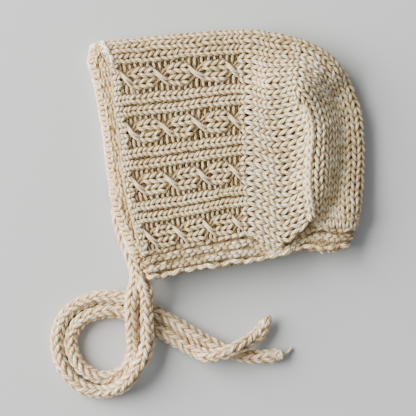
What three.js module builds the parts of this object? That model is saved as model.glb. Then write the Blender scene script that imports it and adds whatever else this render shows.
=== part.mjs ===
// A hand-knitted baby bonnet lying flat on its side, with its two knitted ties.
// Millimetres, +Z up. The face opening looks towards -X, the neck opening towards -Y, the
// crown's fold is at +Y and the back of the head at +X. The "near" side is the upper layer,
// the "far" side is the layer that rests on the floor.
//
// The bonnet is knitted from the face edge backwards. At the back of the crown the middle
// columns of stitches run on, over the fold and down the back of the head, and take up the
// columns of both sides along two seams. A garter band finishes the neck.
import * as THREE from 'three';

// ---- Driving sizes ---------------------------------------------------------------------
const WALL = 3.8; // thickness of the knitting
const GAP = 0.35; // room between neighbouring pieces
const LOFT = 17.2; // height of the near side's outer face where nothing lifts or dents it
const RIM_DEPTH = 9; // how far in from its outermost line a folded rim is rounded
const CABLED_COURSES = 24; // rows of stitches in the cabled part
const CROWN_COURSES = 33; // rows of stitches from the face edge to the seams
const TIE_DIAMETER = 6.8;
const TIE_SIDES = 10;
const TIE_STEPS = 40;
const TAIL_DIAMETER = 2.2; // the yarn left hanging from one tie's end
const TAIL_SIDES = 8;

const FACETS_OVER = 40; // facets of a row, from the near neck edge over the fold to the far one
const FACETS_BACK = 20; // facets of a back panel row, from seam to seam
const FACETS_BAND = 48; // facets along the neck band

const ECRU = new THREE.MeshStandardMaterial({ color: 0xe2d8c2, roughness: 0.95, metalness: 0 });
const ECRU_TIE = new THREE.MeshStandardMaterial({ color: 0xe8dfcc, roughness: 0.95, metalness: 0 });

// ---- Plan of the knitting --------------------------------------------------------------
// Rows of the front and crown. Each is followed in plan from the fold at the crown down the
// near side, then down the far side, through six places each, to the neck band.
const SEAM = [[35.8, 31.1], [40.9, 23.5], [43.7, 12], [43.0, -3], [42.4, -18], [43.9, -34.3]];

const FRONT_ROWS = [
  {
    course: 0,
    fold: [-70.8, 58.7],
    near: [[-62.4, 47], [-59.6, 26], [-56.6, 5], [-54.6, -15], [-50.6, -33], [-45.1, -54]],
    far: [[-73.0, 49.5], [-69.8, 36], [-65.4, 12], [-62.7, -11], [-59.0, -31], [-50.6, -52.6]],
  },
  {
    course: 12,
    fold: [-31, 63.4],
    near: [[-28.4, 48], [-26.6, 28], [-24.8, 8], [-23.2, -10], [-20.6, -30], [-17.2, -49]],
    far: [[-33, 46], [-31, 27], [-28.6, 8], [-27, -10], [-24, -30], [-20, -49]],
  },
  {
    course: CABLED_COURSES,
    fold: [8, 66],
    near: [[8.3, 50], [8.8, 30], [9.2, 10], [9.6, -10], [10.1, -27], [10.6, -43.8]],
    far: [[7, 50], [6.5, 30], [6.5, 10], [7.5, -10], [8.5, -27], [9.5, -43.8]],
  },
  {
    course: 28.5,
    fold: [24.2, 64.4],
    near: [[22.6, 48], [21.9, 30], [24.4, 12], [26.4, -6], [26.8, -26], [27.2, -49.2]],
    far: [[22.4, 48], [21.5, 30], [24, 12], [26, -6], [26.4, -23], [27.2, -39.6]],
  },
  { course: CROWN_COURSES, fold: [38.8, 61.2], near: SEAM, far: SEAM },
];

// The outermost line of the back of the head, from the end of the crown's fold to the nape.
const BACK_RIM = [
  [38.8, 61.2], [49, 56.4], [59.1, 48.1], [66.7, 36], [71.2, 22], [72.7, 5], [72.5, -12.5], [71.3, -24],
  [69.3, -35.4],
];

// The neck band's two edges, each from the middle of the nape along the near side to the
// face, then along the far side to the face.
const BAND_EDGES = [
  {
    fold: [69.6, -36.2],
    near: [
      [59, -36.4], [52, -36.4], [46, -36.4], [38, -43.6], [30, -50.2], [18.5, -48.4], [8.5, -45.0],
      [-17.2, -49.7], [-45.2, -54.7],
    ],
    far: [[57, -35.6], [43.9, -35.0], [27.2, -40.3], [9.5, -44.5], [-20, -49.7], [-50.2, -53.4]],
  },
  {
    fold: [65.2, -48.0],
    near: [
      [57, -49.9], [48, -49.8], [41.5, -49.6], [35, -50.8], [29, -53.0], [19, -55.0], [4, -57.4],
      [-17, -60.4], [-42.1, -65.2],
    ],
    far: [[55, -49.4], [40, -49.6], [22.5, -52.8], [4, -56.4], [-17, -59.6], [-42.6, -65.0]],
  },
];

// ---- Folds and dents -------------------------------------------------------------------
// Each row lifts or dents a side along a line, by `rise` on the line, fading over `reach`.
const FOLDS = [
  { name: 'knuckle where the seam begins', line: [[26, 37], [36, 38]], rise: 7, reach: 11 },
  { name: 'seam ridge', line: [[40, 29], [46.6, 12], [46.4, -8], [45.4, -24]], rise: 5, reach: 8 },
  {
    name: 'dent down the back of the head',
    line: [[58, 33], [61.2, 16], [61.2, -4], [59, -19], [54, -27]],
    rise: -7.5,
    reach: 7.2,
  },
  { name: 'face corner lifted by the tie', line: [[-50, -48], [-43, -62]], rise: 2.6, reach: 12 },
];

// The side's lower back corner laps over the nape, so this one lowers only the back and the band.
const NAPE = [
  { name: 'nape sunk below the side', line: [[62, -42], [46, -41], [40, -47]], rise: -6, reach: 8 },
];

// The far side lies flat, but its face edge rests on the tie below it.
const LIFTS = [
  { name: 'far edge over the tie', line: [[-58, -26], [-54, -44], [-48.5, -62]], rise: 9.2, reach: 9 },
];

function distanceToLine(line, place) {
  const nearest = new THREE.Vector3();
  const distances = line.slice(1).map((end, i) => {
    const stretch = new THREE.Line3(new THREE.Vector3(...line[i], 0), new THREE.Vector3(...end, 0));
    return stretch.closestPointToPoint(place, true, nearest).distanceTo(place);
  });
  return Math.min(...distances);
}

function foldHeight(folds, x, y) {
  const place = new THREE.Vector3(x, y, 0);
  let height = 0;
  for (const { line, rise, reach } of folds) {
    height += rise * Math.exp(-((distanceToLine(line, place) / reach) ** 2));
  }
  return height;
}

const FADED_OUT = 0.1; // a lift this small is dropped, so that the rest of the far side is flat

const sideHeight = (x, y) => LOFT + foldHeight(FOLDS, x, y);
const backHeight = (x, y) => sideHeight(x, y) + foldHeight(NAPE, x, y);

function farHeight(x, y) {
  return Math.max(0, foldHeight(LIFTS, x, y) - FADED_OUT);
}

// ---- One row, traced over its folded rim -----------------------------------------------
const plan = (points) => new THREE.SplineCurve(points.map(([x, y]) => new THREE.Vector2(x, y)));

const TRACE_STEPS = 60; // fine steps along one side before it is cut into equal facets
const RIM_STEPS = 16; // fine steps around a quarter of the rim

// Follows one side, from its open edge to the outermost line of the rim. `side` is +1 for the
// near side and -1 for the far side. Gives matching points of the outer and inner face.
function traceSide(row, side, trim) {
  const nearHeight = row.behind ? backHeight : sideHeight;
  const curve = plan([row.fold, ...(side > 0 ? row.near : row.far)]);
  const length = curve.getLength();
  const heightAt = side > 0 ? nearHeight : farHeight;
  const at = (distance) => curve.getPointAt(Math.min(1, Math.max(0, distance / length)));
  const trace = [];
  for (let i = 0; i < TRACE_STEPS; i += 1) {
    const distance = THREE.MathUtils.lerp(length - trim, RIM_DEPTH, i / TRACE_STEPS);
    const { x, y } = at(distance);
    const z = heightAt(x, y);
    trace.push({
      outer: new THREE.Vector3(x, y, z),
      inner: new THREE.Vector3(x, y, z - side * WALL),
    });
  }
  const top = plan([row.fold, ...row.near]);
  const bottom = plan([row.fold, ...row.far]);
  const topPlace = top.getPointAt(RIM_DEPTH / top.getLength());
  const bottomPlace = bottom.getPointAt(RIM_DEPTH / bottom.getLength());
  const high = nearHeight(topPlace.x, topPlace.y);
  const low = farHeight(bottomPlace.x, bottomPlace.y);
  const middle = (high + low) / 2;
  const half = (high - low) / 2;
  for (let i = 0; i <= RIM_STEPS; i += 1) {
    const angle = (Math.PI / 2) * (1 - i / RIM_STEPS);
    const outer = at(RIM_DEPTH - RIM_DEPTH * Math.cos(angle));
    const inner = at(RIM_DEPTH - (RIM_DEPTH - WALL) * Math.cos(angle));
    trace.push({
      outer: new THREE.Vector3(outer.x, outer.y, middle + side * half * Math.sin(angle)),
      inner: new THREE.Vector3(inner.x, inner.y, middle + side * (half - WALL) * Math.sin(angle)),
    });
  }
  return trace;
}

// Cuts a traced side into facets of equal length.
function equalFacets(trace, count) {
  const reached = [0];
  for (let i = 1; i < trace.length; i += 1) {
    reached.push(reached[i - 1] + trace[i].outer.distanceTo(trace[i - 1].outer));
  }
  const total = reached[reached.length - 1];
  const points = [];
  let i = 1;
  for (let k = 0; k <= count; k += 1) {
    const wanted = (total * k) / count;
    while (i < trace.length - 1 && reached[i] < wanted) i += 1;
    const share = (wanted - reached[i - 1]) / (reached[i] - reached[i - 1]);
    points.push({
      outer: trace[i - 1].outer.clone().lerp(trace[i].outer, share),
      inner: trace[i - 1].inner.clone().lerp(trace[i].inner, share),
    });
  }
  return points;
}

// A whole row: near edge, rim, far edge.
function traceRow(row, facets, trim = 0) {
  const near = equalFacets(traceSide(row, 1, trim), facets / 2);
  const far = equalFacets(traceSide(row, -1, trim), facets / 2);
  return [...near, ...far.reverse().slice(1)];
}

// ---- A knitted wall through traced rows ------------------------------------------------
function wall(name, rows, material) {
  const columns = rows[0].length;
  const positions = [];
  for (const row of rows) {
    for (const { outer, inner } of row) positions.push(...outer, ...inner);
  }
  const outer = (r, c) => 2 * (r * columns + c);
  const inner = (r, c) => outer(r, c) + 1;
  const faces = [];
  const quad = (a, b, c, d) => faces.push(a, b, c, a, c, d);
  const lastRow = rows.length - 1;
  const lastColumn = columns - 1;
  for (let r = 0; r < lastRow; r += 1) {
    for (let c = 0; c < lastColumn; c += 1) {
      quad(outer(r, c), outer(r + 1, c), outer(r + 1, c + 1), outer(r, c + 1));
      quad(inner(r, c), inner(r, c + 1), inner(r + 1, c + 1), inner(r + 1, c));
    }
    quad(outer(r, 0), inner(r, 0), inner(r + 1, 0), outer(r + 1, 0));
    quad(outer(r, lastColumn), outer(r + 1, lastColumn), inner(r + 1, lastColumn), inner(r, lastColumn));
  }
  for (let c = 0; c < lastColumn; c += 1) {
    quad(outer(0, c), outer(0, c + 1), inner(0, c + 1), inner(0, c));
    quad(outer(lastRow, c), inner(lastRow, c), inner(lastRow, c + 1), outer(lastRow, c + 1));
  }
  const geometry = new THREE.BufferGeometry();
  geometry.setAttribute('position', new THREE.Float32BufferAttribute(positions, 3));
  geometry.setIndex(faces);
  geometry.computeVertexNormals();
  const mesh = new THREE.Mesh(geometry, material);
  mesh.name = name;
  return mesh;
}

// The plan of any course of the front or crown, blended from the rows of the table.
function frontRow(course) {
  let i = 0;
  while (i < FRONT_ROWS.length - 2 && FRONT_ROWS[i + 1].course < course) i += 1;
  const { course: before } = FRONT_ROWS[i];
  const { course: after } = FRONT_ROWS[i + 1];
  const place = (i + (course - before) / (after - before)) / (FRONT_ROWS.length - 1);
  const blend = (pick) => plan(FRONT_ROWS.map(pick)).getPoint(place).toArray();
  return {
    fold: blend((row) => row.fold),
    near: FRONT_ROWS[0].near.map((_, k) => blend((row) => row.near[k])),
    far: FRONT_ROWS[0].far.map((_, k) => blend((row) => row.far[k])),
  };
}

function frontPart(name, firstCourse, lastCourse, steps) {
  const rows = [];
  for (let k = 0; k <= steps; k += 1) {
    const course = THREE.MathUtils.lerp(firstCourse, lastCourse, k / steps);
    rows.push(traceRow(frontRow(course), FACETS_OVER));
  }
  return wall(name, rows, ECRU);
}

// The back panel fans around the start of the seams: short steps along the seam, long ones
// around the rim.
function backPanel(name, steps) {
  const rim = plan(BACK_RIM);
  const seam = plan(SEAM);
  const margin = 0.006; // share of the way left free beside the crown and the neck band
  const rows = [];
  for (let k = 0; k <= steps; k += 1) {
    const share = THREE.MathUtils.lerp(margin, 1 - margin, k / steps);
    const fold = rim.getPointAt(share).toArray();
    const end = seam.getPointAt(share).toArray();
    rows.push(traceRow({ fold, near: [end], far: [end], behind: true }, FACETS_BACK, 2 * GAP));
  }
  return wall(name, rows, ECRU);
}

function neckBand(name, steps) {
  const [top, bottom] = BAND_EDGES;
  const between = (a, b, share) => [
    THREE.MathUtils.lerp(a[0], b[0], share),
    THREE.MathUtils.lerp(a[1], b[1], share),
  ];
  const rows = [];
  for (let k = 0; k <= steps; k += 1) {
    const share = k / steps;
    rows.push(traceRow({
      fold: between(top.fold, bottom.fold, share),
      near: top.near.map((point, i) => between(point, bottom.near[i], share)),
      far: top.far.map((point, i) => between(point, bottom.far[i], share)),
      behind: true,
    }, FACETS_BAND));
  }
  return wall(name, rows, ECRU);
}

// ---- Ties: knitted cords laid on the floor ---------------------------------------------
const ON_FLOOR = 3.6; // height of a tie's middle where it lies on the floor
const ON_TIE = 10.9; // and where it lies across another tie

// From under the far side's face edge, down past the corner, round the inside of the loop,
// back under both ties and out to a pointed end that crosses over the other tie.
const TIE_FAR = [
  [-58.2, -23.0, ON_FLOOR], [-58.6, -31.0, ON_FLOOR], [-56.6, -41.0, ON_FLOOR],
  [-53.2, -51.0, ON_FLOOR], [-49.8, -59.0, 3.8], [-48.6, -66.0, 6.2], [-50.2, -72.5, 9.8],
  [-51.4, -79.0, ON_TIE], [-51.2, -86.0, ON_TIE], [-50.8, -93.0, 9.0], [-50.5, -100.0, 4.6],
  [-50.9, -107.0, ON_FLOOR], [-54.6, -114.6, ON_FLOOR], [-61.6, -118.6, ON_FLOOR],
  [-70.2, -118.4, ON_FLOOR], [-78.6, -112.9, ON_FLOOR], [-83.4, -104.6, ON_FLOOR],
  [-83.4, -96.2, ON_FLOOR], [-78.2, -88.2, ON_FLOOR], [-69.3, -84.3, ON_FLOOR],
  [-60.3, -83.6, ON_FLOOR], [-52.0, -85.6, ON_FLOOR], [-44.4, -89.8, ON_FLOOR],
  [-37.0, -94.2, ON_FLOOR], [-28.2, -98.8, ON_FLOOR], [-19.6, -103.9, 4.6],
  [-11.0, -107.0, 8.4], [-2.2, -105.6, ON_TIE], [5.4, -102.2, 9.8], [12.4, -98.6, 5.6],
  [18.0, -93.6, 4.0], [21.2, -86.8, 5.0],
];

// From the near corner of the neck band, round the outside of the loop, back under both ties
// and out to a blunt end under the other tie.
const TIE_NEAR = [
  [-46.6, -62.6, 15.0], [-44.8, -68.2, 14.4], [-43.2, -74.4, 12.5], [-43.4, -81.0, ON_TIE],
  [-43.2, -91.0, ON_TIE], [-42.9, -98.0, 9.6], [-44.4, -105.6, 8.6], [-47.6, -112.6, 9.6],
  [-52.6, -119.6, 9.2], [-59.2, -124.6, 6.6], [-67.0, -126.6, 4.0], [-76.4, -124.6, ON_FLOOR],
  [-84.4, -118.4, ON_FLOOR], [-89.6, -109.4, ON_FLOOR], [-91.2, -99.2, ON_FLOOR],
  [-89.0, -89.4, ON_FLOOR], [-82.6, -81.8, ON_FLOOR], [-74.0, -77.6, ON_FLOOR],
  [-64.6, -76.0, ON_FLOOR], [-55.4, -77.0, ON_FLOOR], [-46.6, -80.2, ON_FLOOR],
  [-38.6, -84.4, ON_FLOOR], [-30.0, -89.2, ON_FLOOR], [-21.4, -94.4, ON_FLOOR],
  [-12.8, -99.2, ON_FLOOR], [-4.2, -103.4, ON_FLOOR], [4.6, -106.6, ON_FLOOR],
  [13.4, -108.0, ON_FLOOR], [21.0, -107.8, ON_FLOOR], [27.6, -107.0, ON_FLOOR],
];

const TIE_TAIL = [[28.6, -106.9, 3.2], [30.6, -106.2, 1.9], [32.4, -104.9, 1.3], [33.6, -103.2, 1.3]];

function roundSection(diameter, sides) {
  const corners = [];
  for (let i = 0; i < sides; i += 1) {
    const angle = (2 * Math.PI * i) / sides;
    corners.push(new THREE.Vector2(Math.cos(angle), Math.sin(angle)).multiplyScalar(diameter / 2));
  }
  return new THREE.Shape(corners);
}

function cord(name, route, diameter, sides, steps) {
  const points = route.map(([x, y, z]) => new THREE.Vector3(x, y, z));
  const extrudePath = new THREE.CatmullRomCurve3(points, false, 'centripetal');
  const section = roundSection(diameter, sides);
  const mesh = new THREE.Mesh(new THREE.ExtrudeGeometry(section, { steps, extrudePath }), ECRU_TIE);
  mesh.name = name;
  return mesh;
}

// ---- The bonnet ------------------------------------------------------------------------
const EDGE_COURSES = 1; // the cast-on edge is one course wide
const SPLIT = 0.12; // share of a course left free on each side of a joint between pieces

// The plan above is drawn from a point a little off the middle; this brings the middle of the
// bonnet's box, its ties apart, to the origin.
const OFF_CENTRE = { x: 0.36, y: 0.4 };

const bonnet = new THREE.Group();
bonnet.name = 'baby_bonnet';
bonnet.position.set(-OFF_CENTRE.x, -OFF_CENTRE.y, 0);
bonnet.add(
  frontPart('face_edge', 0, EDGE_COURSES - SPLIT, 1),
  frontPart('cabled_front', EDGE_COURSES + SPLIT, CABLED_COURSES - SPLIT, 9),
  frontPart('crown', CABLED_COURSES + SPLIT, CROWN_COURSES - 2 * SPLIT, 6),
  backPanel('back_panel', 18),
  neckBand('neck_band', 3),
  cord('tie_far', TIE_FAR, TIE_DIAMETER, TIE_SIDES, TIE_STEPS),
  cord('tie_near', TIE_NEAR, TIE_DIAMETER, TIE_SIDES, TIE_STEPS),
  cord('tie_tail', TIE_TAIL, TAIL_DIAMETER, TAIL_SIDES, TIE_TAIL.length - 1),
);

export default bonnet;
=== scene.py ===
# %% [markdown]
# # A hand-knitted baby bonnet with two knitted ties
# The bonnet lies flat on its side, so it is two layers of knitting with a fold along the crown
# and the back of the head. Knitting is one yarn bent into rows of loops, each row caught by the
# next. It could be faked with a bumpy surface, but the holes, the loose bars and the thickness
# of the yarn are what the eye reads as hand knitting. So each loop is modelled here: flat charts
# of stitches are laid by Geometry Nodes on smooth curved cloths, and then given the yarn's
# thickness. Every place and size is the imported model's, with its tables in millimetres.

import math

import bpy
import numpy as np
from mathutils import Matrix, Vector


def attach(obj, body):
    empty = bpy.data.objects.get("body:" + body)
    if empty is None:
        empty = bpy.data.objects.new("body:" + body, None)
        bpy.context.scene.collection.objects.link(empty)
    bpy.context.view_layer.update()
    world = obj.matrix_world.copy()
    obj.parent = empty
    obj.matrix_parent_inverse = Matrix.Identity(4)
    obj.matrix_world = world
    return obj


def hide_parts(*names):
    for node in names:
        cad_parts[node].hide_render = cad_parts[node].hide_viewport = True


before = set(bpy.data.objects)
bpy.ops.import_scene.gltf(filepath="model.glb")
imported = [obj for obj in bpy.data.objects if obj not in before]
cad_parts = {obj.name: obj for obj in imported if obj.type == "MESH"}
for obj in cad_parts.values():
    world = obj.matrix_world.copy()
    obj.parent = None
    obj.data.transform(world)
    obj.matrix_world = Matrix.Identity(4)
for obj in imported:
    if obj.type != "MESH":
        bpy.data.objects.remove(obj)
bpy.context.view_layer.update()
scene = bpy.context.scene
MM = 0.001

# %% [markdown]
# ## Camera
# The bonnet is looked at from straight above, from far enough away that its thick parts hardly
# lean outwards. A long lens does that. The camera comes before the ties, because a free cord has
# to stay near the camera's view.

# %% Camera straight above
VIEW_WIDTH = 220.5 * MM  # taken in at the height of the bonnet's middle
BONNET_MIDDLE = 0.009
VIEW_CENTRE = (-0.0112, -0.0292)
CAMERA_HEIGHT = 1.4
camera_data = bpy.data.cameras.new("overhead")
camera_data.lens = camera_data.sensor_width * (CAMERA_HEIGHT - BONNET_MIDDLE) / VIEW_WIDTH
camera = bpy.data.objects.new("overhead", camera_data)
camera.location = (*VIEW_CENTRE, CAMERA_HEIGHT)
scene.collection.objects.link(camera)
scene.camera = camera
print("lens, mm:", round(camera_data.lens))

# %% [markdown]
# ## One helper for nodes, one for colours
# Every tree below is built with the same small function: it adds a node, sets its options, and
# fills its inputs with numbers or with links from other nodes. Colours are written as sRGB hex,
# the way a dyer's card gives them, and turned to linear light by one function.

# %% Node and colour helpers
def add(tree, kind, inputs=(), **settings):
    node = tree.nodes.new(kind)
    for name, value in settings.items():
        setattr(node, name, value)
    for key, value in dict(inputs).items():
        if isinstance(value, bpy.types.NodeSocket):
            tree.links.new(value, node.inputs[key])
        else:
            node.inputs[key].default_value = value
    return node


def linear(hex_colour):
    parts = [int(hex_colour[i : i + 2], 16) / 255 for i in (1, 3, 5)]
    return [p / 12.92 if p <= 0.04045 else ((p + 0.055) / 1.055) ** 2.4 for p in parts] + [1.0]


print("ecru in linear light:", [round(v, 3) for v in linear("#F6E9BF")])

# %% [markdown]
# ## Undyed cotton yarn
# The yarn is soft undyed cotton: several plies twisted together, matt, slightly fuzzy, ecru. Light
# that gets down between the loops comes back warmer and darker, and here that shade is painted
# into the colour: yarn that lies deep is painted tan and brown, and yarn that stands proud is
# painted pale as in full light. The finish could be one colour with noise, but three things make it
# read as yarn: the twist of the plies, which needs to follow each loop and whose grooves are
# painted in shade, the fuzz of the fibres, and the painted shade of depth. The yarn's own
# attributes carry
# them: "around" is the place round the yarn, "along" the length in metres, "depth" how far out of
# the cloth its surface lies, and a fourth how much paler or darker a strand is painted than its
# depth gives, as at an edge. Cotton is rough and hardly shines, so the roughness is high and the
# specular level low, and a faint sheen stands for its loose fibres.

# %% Grooves between the twisted plies
PLY_COUNT = 4
PLY_TURN = 12 * MM  # length of yarn in which a ply goes round once


def ply_grooves(tree):
    """0 in the groove between two plies and 1 outside it: an angle that turns along the yarn."""
    around = add(tree, "ShaderNodeAttribute", attribute_name="around")
    along = add(tree, "ShaderNodeAttribute", attribute_name="along")
    split = add(tree, "ShaderNodeSeparateXYZ", {0: around.outputs["Vector"]})
    angle = add(
        tree, "ShaderNodeMath", {0: split.outputs["Y"], 1: split.outputs["X"]}, operation="ARCTAN2"
    )
    turned = add(
        tree, "ShaderNodeMath", {0: along.outputs["Fac"], 1: 2 * math.pi / PLY_TURN},
        operation="MULTIPLY",
    )
    wind = add(tree, "ShaderNodeMath", {0: angle.outputs[0], 1: turned.outputs[0]}, operation="ADD")
    plies = add(
        tree, "ShaderNodeMath", {0: wind.outputs[0], 1: float(PLY_COUNT)}, operation="MULTIPLY"
    )
    wave = add(tree, "ShaderNodeMath", {0: plies.outputs[0]}, operation="SINE")
    groove = add(
        tree, "ShaderNodeMapRange",
        {"Value": wave.outputs[0], "From Min": -1.0, "From Max": 0.5, "To Min": 0.0, "To Max": 1.0},
        interpolation_type="SMOOTHSTEP",
    )
    return groove.outputs[0]


print("ply turns to a metre:", round(1 / PLY_TURN))

# %% Painted shade by depth
PATCHES = 260.0  # to a metre: 4 mm, where the cotton itself is a little lighter or darker
INNER_DEPTH, OUTER_DEPTH = -2.4, 2.2  # mm, from the inner face of the knitting to the outer
INNER_FACE_SHADE = "#E0C592"  # painted shade of the bonnet's inside, lit only through its own knitting
PAINTED_HIGHLIGHT = "#FFFAEF"  # painted highlight on a strand that stands proud in full light


def painted_shade_by_depth(tree, place, lit, shaded, deep):
    """Painted shade: shaded on the inner face, deepest in the middle, lit on the outer face."""
    depth = add(tree, "ShaderNodeAttribute", attribute_name="depth")
    painted_light_offset = add(tree, "ShaderNodeAttribute", attribute_name="painted_light")
    patch = add(tree, "ShaderNodeTexNoise", {"Vector": place, "Scale": PATCHES, "Detail": 2.0})
    level = add(
        tree, "ShaderNodeMapRange",
        {
            "Value": depth.outputs["Fac"], "From Min": INNER_DEPTH, "From Max": OUTER_DEPTH,
            "To Min": 0.0, "To Max": 1.0,
        },
    )
    patchy = add(
        tree, "ShaderNodeMath", {0: patch.outputs["Fac"], 1: 0.2, 2: -0.1},
        operation="MULTIPLY_ADD",
    )
    # The cotton's own random patches and each strand's painted light move it along the painted
    # ramp.
    for more in (patchy.outputs[0], painted_light_offset.outputs["Fac"]):
        level = add(tree, "ShaderNodeMath", {0: level.outputs[0], 1: more}, operation="ADD")
    ramp = add(tree, "ShaderNodeValToRGB", {"Fac": level.outputs[0]})
    stops = ramp.color_ramp.elements
    stops[0].position, stops[0].color = 0.0, linear(INNER_FACE_SHADE)
    stops[1].position, stops[1].color = 1.0, linear(PAINTED_HIGHLIGHT)
    for position, colour in ((0.3, INNER_FACE_SHADE), (0.52, deep), (0.74, shaded), (0.93, lit)):
        stops.new(position).color = linear(colour)
    return ramp.outputs["Color"]


print("depth of the knitting, mm:", round(OUTER_DEPTH - INNER_DEPTH, 1))

# %% The yarn material
GROOVE_FADE = 0.3  # how much of the painted shade in the grooves is taken back
TUFTS = 2200.0  # to a metre: 0.45 mm, drawn coarser than real fibres so that they show at all
PLY_RELIEF, TUFT_RELIEF = 0.35 * MM, 0.25 * MM


def cotton_yarn(name, lit, shaded, deep):
    material = bpy.data.materials.new(name)
    material.use_nodes = True
    tree = material.node_tree
    tree.nodes.clear()
    place = add(tree, "ShaderNodeTexCoord").outputs["Object"]
    groove = ply_grooves(tree)
    colour = painted_shade_by_depth(tree, place, lit, shaded, deep)
    # The grooves between the plies get painted shade in the shaded colour, then eased back a
    # little.
    groove_painted_shade = add(
        tree, "ShaderNodeMix", {"Factor": groove, 6: linear(shaded), 7: colour}, data_type="RGBA"
    )
    soft = add(
        tree, "ShaderNodeMix", {"Factor": GROOVE_FADE, 6: groove_painted_shade.outputs[2], 7: colour},
        data_type="RGBA",
    )
    tuft = add(
        tree, "ShaderNodeTexNoise",
        {"Vector": place, "Scale": TUFTS, "Detail": 3.0, "Roughness": 0.7},
    )
    ply_bump = add(
        tree, "ShaderNodeBump", {"Height": groove, "Strength": 0.9, "Distance": PLY_RELIEF}
    )
    fuzz_bump = add(
        tree, "ShaderNodeBump",
        {
            "Height": tuft.outputs["Fac"], "Strength": 0.5, "Distance": TUFT_RELIEF,
            "Normal": ply_bump.outputs[0],
        },
    )
    shader = add(
        tree, "ShaderNodeBsdfPrincipled",
        {
            "Base Color": soft.outputs[2], "Roughness": 0.88, "Specular IOR Level": 0.25,
            "Sheen Weight": 0.25, "Sheen Roughness": 0.55, "Sheen Tint": linear("#FFF8EA"),
            "Normal": fuzz_bump.outputs[0],
        },
    )
    add(tree, "ShaderNodeOutputMaterial", {"Surface": shader.outputs[0]})
    return material


# One cotton in three copies that differ only in painted light and shade: garter stitch is closer,
# with darker painted shade in its gaps, and the ties lie in open light, with paler painted crests.
knit_cotton = cotton_yarn("undyed cotton yarn, knitted", "#F6E9BF", "#BEA275", "#785A38")
garter_cotton = cotton_yarn("undyed cotton yarn, garter stitch", "#F4E6C0", "#B39A70", "#74583A")
tie_cotton = cotton_yarn("undyed cotton yarn, knitted cord", "#FFF5DA", "#CBAB7D", "#86643A")
print("yarns:", [yarn.name for yarn in (knit_cotton, garter_cotton, tie_cotton)])

# %% [markdown]
# ## Yarn from lines, with Geometry Nodes
# A strand is first only a line. One tree turns it into yarn, in two steps. The first lays a flat
# chart of stitches on a curved cloth: a chart point is (share across, share along, millimetres
# out), and the tree looks the two shares up in the cloth's own UV map, then moves out along its
# outward direction. A strand that is drawn in its real place already goes round this step. The
# second step gives the lines their round thickness. Curves with a bevel could do that too, but a
# tree also writes the place round and along the yarn, which the ply twist needs.

# %% The yarn tree: its inputs, and laying a chart on a cloth
yarn_tree = bpy.data.node_groups.new("knit yarn", "GeometryNodeTree")
yarn_tree.interface.new_socket("Geometry", in_out="OUTPUT", socket_type="NodeSocketGeometry")
for label, kind in (
    ("Geometry", "NodeSocketGeometry"), ("On Cloth", "NodeSocketBool"),
    ("Cloth", "NodeSocketObject"), ("Yarn Radius", "NodeSocketFloat"),
    ("Sides", "NodeSocketInt"), ("Yarn", "NodeSocketMaterial"),
):
    yarn_tree.interface.new_socket(label, in_out="INPUT", socket_type=kind)
given = add(yarn_tree, "NodeGroupInput").outputs
here = add(yarn_tree, "GeometryNodeInputPosition").outputs[0]
cloth_info = add(yarn_tree, "GeometryNodeObjectInfo", {"Object": given["Cloth"]})
flat = add(yarn_tree, "ShaderNodeSeparateXYZ", {0: here})
cloth_share = add(
    yarn_tree, "ShaderNodeCombineXYZ", {"X": flat.outputs["X"], "Y": flat.outputs["Y"]}
)
uv_map, outward = [
    add(yarn_tree, "GeometryNodeInputNamedAttribute", {"Name": label}, data_type="FLOAT_VECTOR")
    for label in ("share", "outward")
]
cloth_place, cloth_out = [
    add(
        yarn_tree, "GeometryNodeSampleUVSurface",
        {
            "Mesh": cloth_info.outputs["Geometry"], "Value": field,
            "UV Map": uv_map.outputs[0], "Sample UV": cloth_share.outputs[0],
        },
        data_type="FLOAT_VECTOR",
    ).outputs[0]
    for field in (here, outward.outputs[0])
]
metres = add(yarn_tree, "ShaderNodeMath", {0: flat.outputs["Z"], 1: MM}, operation="MULTIPLY")
lifted = add(
    yarn_tree, "ShaderNodeVectorMath", {0: cloth_out, "Scale": metres.outputs[0]},
    operation="SCALE",
)
laid_place = add(
    yarn_tree, "ShaderNodeVectorMath", {0: cloth_place, 1: lifted.outputs[0]}, operation="ADD"
)
laid = given["Geometry"]
for label, kind, value in (
    ("depth", "FLOAT", flat.outputs["Z"]), ("out", "FLOAT_VECTOR", cloth_out),
):
    laid = add(
        yarn_tree, "GeometryNodeStoreNamedAttribute",
        {"Geometry": laid, "Name": label, "Value": value}, data_type=kind, domain="POINT",
    ).outputs[0]
laid = add(
    yarn_tree, "GeometryNodeSetPosition", {"Geometry": laid, "Position": laid_place.outputs[0]}
)
strand = add(
    yarn_tree, "GeometryNodeSwitch",
    {"Switch": given["On Cloth"], "False": given["Geometry"], "True": laid.outputs[0]},
    input_type="GEOMETRY",
)
print("nodes that lay a chart:", len(yarn_tree.nodes))

# %% The yarn tree: giving a line its thickness
line = add(yarn_tree, "GeometryNodeMeshToCurve", {"Mesh": strand.outputs[0]}).outputs[0]
gone_along = add(yarn_tree, "GeometryNodeSplineParameter").outputs["Length"]
for label, kind, value in (("along", "FLOAT", gone_along), ("core", "FLOAT_VECTOR", here)):
    line = add(
        yarn_tree, "GeometryNodeStoreNamedAttribute",
        {"Geometry": line, "Name": label, "Value": value}, data_type=kind, domain="POINT",
    ).outputs[0]
circle = add(
    yarn_tree, "GeometryNodeCurvePrimitiveCircle", {"Resolution": given["Sides"], "Radius": 1.0}
)
ring = add(
    yarn_tree, "GeometryNodeStoreNamedAttribute",
    {"Geometry": circle.outputs[0], "Name": "around", "Value": here},
    data_type="FLOAT_VECTOR", domain="POINT",
)
thickness, core, out_way, core_depth = [
    add(yarn_tree, "GeometryNodeInputNamedAttribute", {"Name": label}, data_type=kind).outputs[0]
    for label, kind in (
        ("thickness", "FLOAT"), ("core", "FLOAT_VECTOR"), ("out", "FLOAT_VECTOR"),
        ("depth", "FLOAT"),
    )
]
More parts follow.
